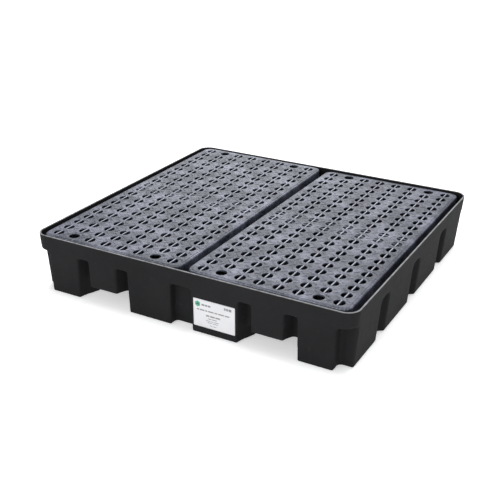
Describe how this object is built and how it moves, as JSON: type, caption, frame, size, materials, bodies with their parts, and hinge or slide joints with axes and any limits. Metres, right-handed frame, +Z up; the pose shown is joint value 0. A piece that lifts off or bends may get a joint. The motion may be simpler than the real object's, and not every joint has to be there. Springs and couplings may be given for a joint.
{
  "type": "spill containment pallet",
  "caption": "Low four-drum spill pallet: moulded sump tray with fork tunnels, recessed feet and side grooves, and drop-in perforated deck grates.",
  "frame": {"origin": "centre of the tray's footprint, on the floor", "axes": "+X along the fork-entry face that carries the label, to its right when facing it; +Y away from that face; +Z up"},
  "size_m": [1.3366, 1.262, 0.232],
  "materials": {
    "tray_plastic": "black moulded polyethylene, matte",
    "grate_plastic": "dark grey moulded polyethylene with a soft sheen",
    "label_film": "white printed film, satin"
  },
  "bodies": {
    "tray": {"sump_tray": "tray_plastic", "label": "label_film"},
    "left_deck": {"left_grate": "grate_plastic"},
    "right_deck": {"right_grate": "grate_plastic"}
  },
  "joints": [
    {"name": "left_grate_lift", "type": "slide", "parent": "tray", "child": "left_deck", "axis": [0, 0, 1], "range_m": [0, 0.2]},
    {"name": "right_grate_lift", "type": "slide", "parent": "tray", "child": "right_deck", "axis": [0, 0, 1], "range_m": [0, 0.2]}
  ]
}
